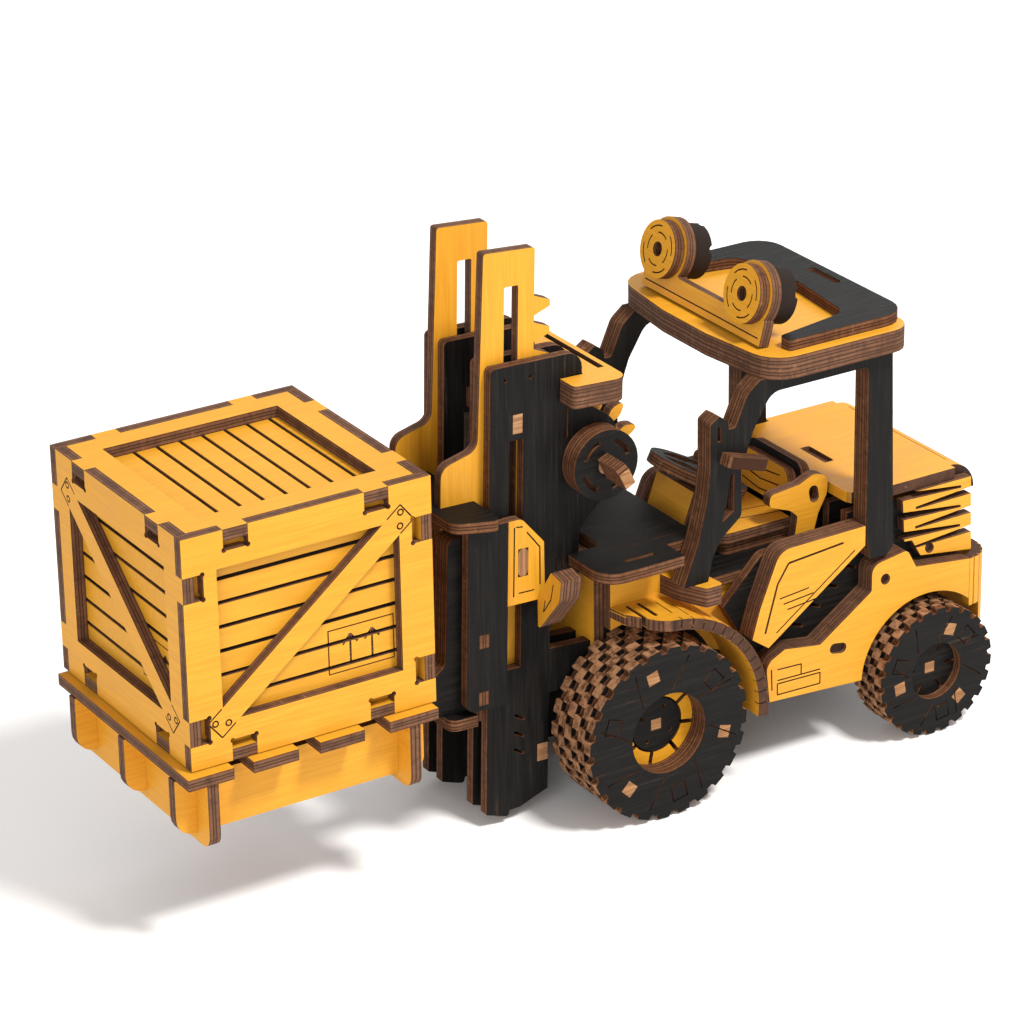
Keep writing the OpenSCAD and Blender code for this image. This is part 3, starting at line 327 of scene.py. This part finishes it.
def burnt_edge(g, depth, axis):
    """Laser-cut edge: thin plies along the sheet, charred in patches, with tan streaks painted on
    as highlights.
    """
    side, up = other_axes(axis)
    at = g.join(g.along(side), g.along(up), g.times(g.along(axis), 0.5))
    streak = g.noise(at, 0.75, 6.0, 0.72)
    blotch = g.noise(g.p, 0.12, 3.0, 0.6)
    wobble = g.noise(at, 0.35, 2.0, 0.5)
    layers = g.bands(g.math("ADD", depth, g.times(g.minus(wobble, 0.5), 0.07)), PLY_BANDS)
    colour = g.mix(g.ramp(streak, 0.46, 0.72, 0.0, 0.6), layers, EDGE_DARK)
    # painted highlight: tan streaks over the cut edge
    colour = g.mix(g.ramp(streak, 0.24, 0.42, 0.45, 0.0), colour, EDGE_HIGHLIGHT)
    return g.mix(g.ramp(blotch, 0.46, 0.70, 0.0, 0.55), colour, EDGE_CHAR)


def tread_edge(g, edge, centre, radius):
    """Tyre tread: tan block tops worn light, charred gaps between them, painted darker towards
    their bottom as shade.
    """
    r = g.from_axle(centre)
    worn = g.noise(g.p, 0.55, 4.0, 0.7)
    top = g.ramp(r, radius - 0.5, radius - 0.1)
    tan = g.mix(g.ramp(worn, 0.36, 0.62), edge, TREAD_TAN)
    # painted shade: the gaps between tread blocks darken towards their bottom
    gap_shade = g.mix(g.ramp(r, radius - 2.4, radius - 0.9), TREAD_GAP_SHADE, edge)
    bore = g.ramp(r, radius - 4.5, radius - 3.5, 1.0, 0.0)
    return g.mix(bore, g.mix(top, gap_shade, tan), edge)


def sheet(name, paint, axis, plane=0.0, centre=0.0, mirrored=True, lattice=True, origin=None,
          grain=None, second=None, mode="flat", extra=None, uncharred=None, tread=None):
    """Material of one node cut from plywood sheet.

    axis is square to the sheet, and plane is where one face lies along axis from origin, or
    from centre. The faces of a stack follow a lattice of PLY, and mirrored means the same on
    both sides. Mode flat paints what faces along axis, bent what doesn't, own only extra's
    region. second is (paint, region); uncharred is the region that keeps its lighter edge.
    """
    g = Graph("ply_" + name)
    side, up = other_axes(axis)
    grain = grain or side
    cross = up if grain == side else side
    place = g.along(axis, origin or tuple(v * centre for v in axis))
    if mirrored:
        place = g.unsigned(place)
    far_below = plane - 100 * PLY
    depth = g.math("FRACT", g.math("DIVIDE", g.minus(place, far_below), PLY))
    off = g.times(g.math("MINIMUM", depth, g.minus(1.0, depth)), PLY)
    facing = g.unsigned(g.vmath("DOT_PRODUCT", g.n, axis))
    if mode == "flat":
        mask = g.ramp(facing, 0.72, 0.9)
        if lattice:
            mask = g.times(mask, g.step_below(off, 0.13))
    elif mode == "bent":
        mask = g.ramp(facing, 0.3, 0.6, 1.0, 0.0)
        if extra:
            mask = g.times(mask, extra(g))
    else:
        mask = extra(g)
    colour, rough, fibre = sheet_face(g, paint, grain, cross, axis)
    if second:
        second_paint, region = second
        second_colour = sheet_face(g, second_paint, grain, cross, axis)[0]
        colour = g.mix(region(g), colour, second_colour)
    edge = burnt_edge(g, depth, axis)
    if tread:
        edge = tread_edge(g, edge, *tread)
    if uncharred:
        edge = g.mix(uncharred(g), DRUM_CHAR, edge)
    if lattice and mode == "flat":
        in_groove = g.times(g.ramp(facing, 0.72, 0.9), g.ramp(off, 0.13, 0.2))
        edge = g.mix(in_groove, edge, GROOVE)
    g.link(g.mix(mask, edge, colour), g.bsdf.inputs["Base Color"])
    edge_rough = 0.82
    whole_rough = g.math("ADD", g.times(mask, g.minus(rough, edge_rough)), edge_rough)
    g.link(whole_rough, g.bsdf.inputs["Roughness"])
    g.bsdf.inputs["Specular IOR Level"].default_value = 0.15 if paint == BLACK else 0.35
    bump = g.tree.nodes.new("ShaderNodeBump")
    bump.inputs["Strength"].default_value = 0.35
    bump.inputs["Distance"].default_value = 0.00012
    g.link(fibre, bump.inputs["Height"])
    g.link(bump.outputs["Normal"], g.bsdf.inputs["Normal"])
    return g.mat


def plain(name, colour, rough):
    """Even matt material."""
    mat = bpy.data.materials.new(name)
    mat.use_nodes = True
    bsdf = mat.node_tree.nodes["Principled BSDF"]
    bsdf.inputs["Base Color"].default_value = (*colour, 1.0)
    bsdf.inputs["Roughness"].default_value = rough
    return mat


# ---------------------------------------------------------------- one row for each node


def upright(paint, plane, **more):
    """Sheets that stand along the toy, the same on both sides."""
    return dict(paint=paint, axis=Y, plane=plane, **more)


def level(paint, plane, **more):
    """Sheets that lie flat."""
    return dict(paint=paint, axis=Z, plane=plane, mirrored=False, **more)


def aslant(paint, axis, plane=0.0, **more):
    """Sheets square to an axis of their own, each in one place."""
    return dict(paint=paint, axis=axis, plane=plane, mirrored=False, **more)


def tyre(centre, radius, peg_radius, peg_size, turns):
    """Stack of black sheets with a sawn tread and square pegs."""
    peg_ends = (BARE, pegs(centre, peg_radius, peg_size, turns))
    return upright(BLACK, 30.0, second=peg_ends, tread=(centre, radius))


def axle(centre, plane):
    """Black collars about a bare square end."""
    return upright(BLACK, plane, second=(BARE, box(centre, X, 1.25, Z, 1.25)))


PAIRS = {
    "fender": upright(YELLOW, 17.0, mode="bent", extra=fender_skin),
    "cab_frame": upright(BLACK, 21.0, grain=Z),
    "body_side": upright(BLACK, 18.5),
    "skirt": upright(YELLOW, 21.0),
    "mast_outer": upright(BLACK, 10.6, grain=Z),
    "rack": upright(YELLOW, 7.8, grain=Z),
    "front_tyre": tyre(FRONT_AXLE, FRONT_R, 14.4, 2.8, (74, 194, 314)),
    "rear_tyre": tyre(REAR_AXLE, REAR_R, 9.9, 2.7, (110.5, 230.5, 350.5)),
}

SHEETS = {
    # chassis, body and wheels
    "chassis_sides": upright(BLACK, 12.0),
    "chassis_cross": aslant(YELLOW, X, lattice=False),
    "deck_plate": level(BLACK, 56.0),
    "fender_walls": upright(YELLOW, 14.5),
    "steps": level(YELLOW, 45.0, lattice=False),
    "door_panels": upright(YELLOW, 21.0),
    "grilles": upright(YELLOW, 21.0),
    "bonnet": upright(YELLOW, 0.0, mode="bent", extra=bonnet_skin),
    "rear_panel": level(YELLOW, 0.0, mode="bent"),
    "front_axle": axle(FRONT_AXLE, 25.0),
    "rear_axle": axle(REAR_AXLE, 27.5),
    "front_hubs": upright(BLACK, 15.0, second=(YELLOW, ring(FRONT_AXLE, 6.2, 22.7))),
    "rear_hubs": upright(BLACK, 20.0),
    # roof and cab
    "roof_base": level(YELLOW, 92.5),
    "roof_top": level(BLACK, 97.5),
    "light_bar": aslant(YELLOW, LAMP_AXIS, origin=ROOF_BAR),
    "lamps": aslant(BLACK, LAMP_AXIS, origin=ROOF_BAR, uncharred=beyond(LAMP_AXIS, ROOF_BAR, -1.0),
                    second=(YELLOW, beyond(LAMP_AXIS, ROOF_BAR, -1.0))),
    "console_sides": upright(BLACK, 7.0),
    "console_face": aslant(YELLOW, CONSOLE_AXIS, origin=CONSOLE_FOOT),
    "steering_wheel": aslant(BLACK, WHEEL_AXIS, origin=WHEEL_HUB),
    "seat_base": level(BLACK, 46.5),
    "seat_cushion": level(YELLOW, 52.0),
    "seat_back": aslant(BLACK, SEAT_AXIS, origin=SEAT_FOOT,
                        second=(YELLOW, beyond(SEAT_AXIS, SEAT_FOOT, 2.7))),
    "armrests": upright(YELLOW, 12.0),
    "cab_floor": level(BLACK, 44.0),
    # mast, carriage and crank
    "mast_inner": upright(BLACK, 5.0, grain=Z),
    "mast_brace": aslant(YELLOW, MAST_Z, 93.0, origin=MAST_FOOT),
    "mast_spacers": upright(BARE, 13.1),
    "mast_cleats": aslant(YELLOW, X, 4.4, origin=MAST_FOOT, grain=Z),
    "carriage_top": aslant(BLACK, MAST_Z, 71.4, origin=MAST_FOOT, lattice=False),
    "carriage_sides": upright(BLACK, 15.9, grain=Z),
    "carriage_clamps": upright(YELLOW, 13.4, grain=Z,
                               second=(BARE, box(CLAMP_PIN, MAST_X, 1.25, MAST_Z, 3.15))),
    "carriage_bars": aslant(BLACK, MAST_X, 23.9, origin=MAST_FOOT),
    "forks": upright(BLACK, 10.4),
    "crank_axle": upright(BARE, 18.4),
    "crank_pinions": upright(YELLOW, 7.8),
    "crank_knob": aslant(BLACK, Y, 13.4, second=(BARE, beyond(Y, (0.0, 0.0, 0.0), 18.5))),
    # pallet and crate
    "pallet_deck": level(YELLOW, 38.1, grain=Y),
    "pallet_stringers": aslant(YELLOW, Y, -1.25, lattice=False),
    "pallet_skirts": aslant(YELLOW, X, 91.3 + SHIFT, lattice=False),
    "crate_ends": dict(paint=YELLOW, axis=X, plane=25.5, centre=CRATE_MID[0]),
    "crate_sides": dict(paint=YELLOW, axis=Y, plane=25.5, centre=CRATE_MID[1]),
    "crate_lids": dict(paint=YELLOW, axis=Z, plane=22.5, centre=CRATE_MID[2]),
    "crate_liner": level(YELLOW, 0.0, mode="own", extra=liner_skin),
}
for pair, row in PAIRS.items():
    SHEETS[pair + "_left"] = row
    SHEETS[pair + "_right"] = row

EDGE_ROUNDING = 0.14
for name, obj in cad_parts.items():
    material = sheet(name, **SHEETS[name])
    for slot in obj.material_slots:
        slot.material = material
    if not obj.material_slots:
        obj.data.materials.append(material)
    bevel = obj.modifiers.new("edge", "BEVEL")
    bevel.width = EDGE_ROUNDING * MM
    bevel.segments = 1
    bevel.limit_method = "ANGLE"
    bevel.angle_limit = math.radians(50)
    bevel.use_clamp_overlap = True

# ---------------------------------------------------------------- painted shade: a dark box inside the crate, so its slots show shade

SHADE_SIZE = (48.6, 48.6, 42.6)
bpy.ops.mesh.primitive_cube_add(size=1.0)
shade = bpy.context.object
shade.name = "crate_shade"
shade.location = Vector(CRATE_MID) * MM
shade.scale = Vector(SHADE_SIZE) * MM
shade.data.materials.append(plain("crate_shade", PAINTED_SHADE_INSIDE, 1.0))
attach(shade, "crate")

# ---------------------------------------------------------------- floor, sky and lights, in metres

FLOOR_SIZE = 4.0
FLOOR_DROP = 0.0002
bpy.ops.mesh.primitive_plane_add(size=FLOOR_SIZE, location=(0.0, 0.0, -FLOOR_DROP))
ground = bpy.context.object
ground.name = "studio_floor"
ground.data.materials.append(plain("studio_paper", PAPER, 0.9))

world = bpy.data.worlds.new("studio")
world.use_nodes = True
world.node_tree.nodes["Background"].inputs["Color"].default_value = (1.0, 1.0, 1.0, 1.0)
world.node_tree.nodes["Background"].inputs["Strength"].default_value = 0.62
bpy.context.scene.world = world
bpy.context.scene.view_settings.view_transform = "Standard"

LIGHT_TARGET = Vector((0.0, 0.0, 0.05))


def area_light(name, where, size, power, colour=(1.0, 1.0, 1.0)):
    """Round soft light aimed at the middle of the toy."""
    data = bpy.data.lights.new(name, "AREA")
    data.shape = "DISK"
    data.size = size
    data.energy = power
    data.color = colour
    obj = bpy.data.objects.new(name, data)
    bpy.context.collection.objects.link(obj)
    obj.location = where
    aim = LIGHT_TARGET - Vector(where)
    obj.rotation_euler = aim.to_track_quat("-Z", "Y").to_euler()


area_light("key", (-0.20, 0.55, 0.95), 0.22, 12.0, (1.0, 0.975, 0.94))
area_light("front_fill", (0.85, 0.75, 0.45), 0.7, 5.0)
area_light("back_fill", (-0.7, -0.6, 0.7), 0.6, 3.0)

# ---------------------------------------------------------------- camera

AZIMUTH = math.radians(148.43)
ELEVATION = math.radians(24.25)
ROLL = math.radians(-0.973)
DISTANCE = 914.05
SIDESTEP = 44.98
RISE = 19.18
LENS = 151.13671875
SENSOR = 36.0
CRATE_CORNER = Vector((40.0 + SHIFT, -30.0, 40.85))

level_right = Vector((math.cos(AZIMUTH), math.sin(AZIMUTH), 0.0))
back = Vector((
    math.sin(AZIMUTH) * math.cos(ELEVATION),
    -math.cos(AZIMUTH) * math.cos(ELEVATION),
    math.sin(ELEVATION),
))
level_up = back.cross(level_right)
right = level_right * math.cos(ROLL) + level_up * math.sin(ROLL)
up = level_up * math.cos(ROLL) - level_right * math.sin(ROLL)
# the camera's place is measured from the crate's bottom corner by the mast, on the driver's right
stand = CRATE_CORNER + right * SIDESTEP + up * RISE + back * DISTANCE
cam_data = bpy.data.cameras.new("camera")
cam_data.lens = LENS
cam_data.sensor_width = SENSOR
cam_data.clip_start = 0.01
cam_data.clip_end = 20.0
cam = bpy.data.objects.new("camera", cam_data)
bpy.context.collection.objects.link(cam)
basis = Matrix((right, up, back)).transposed().to_4x4()
cam.matrix_world = Matrix.Translation(stand * MM) @ basis
bpy.context.scene.camera = cam
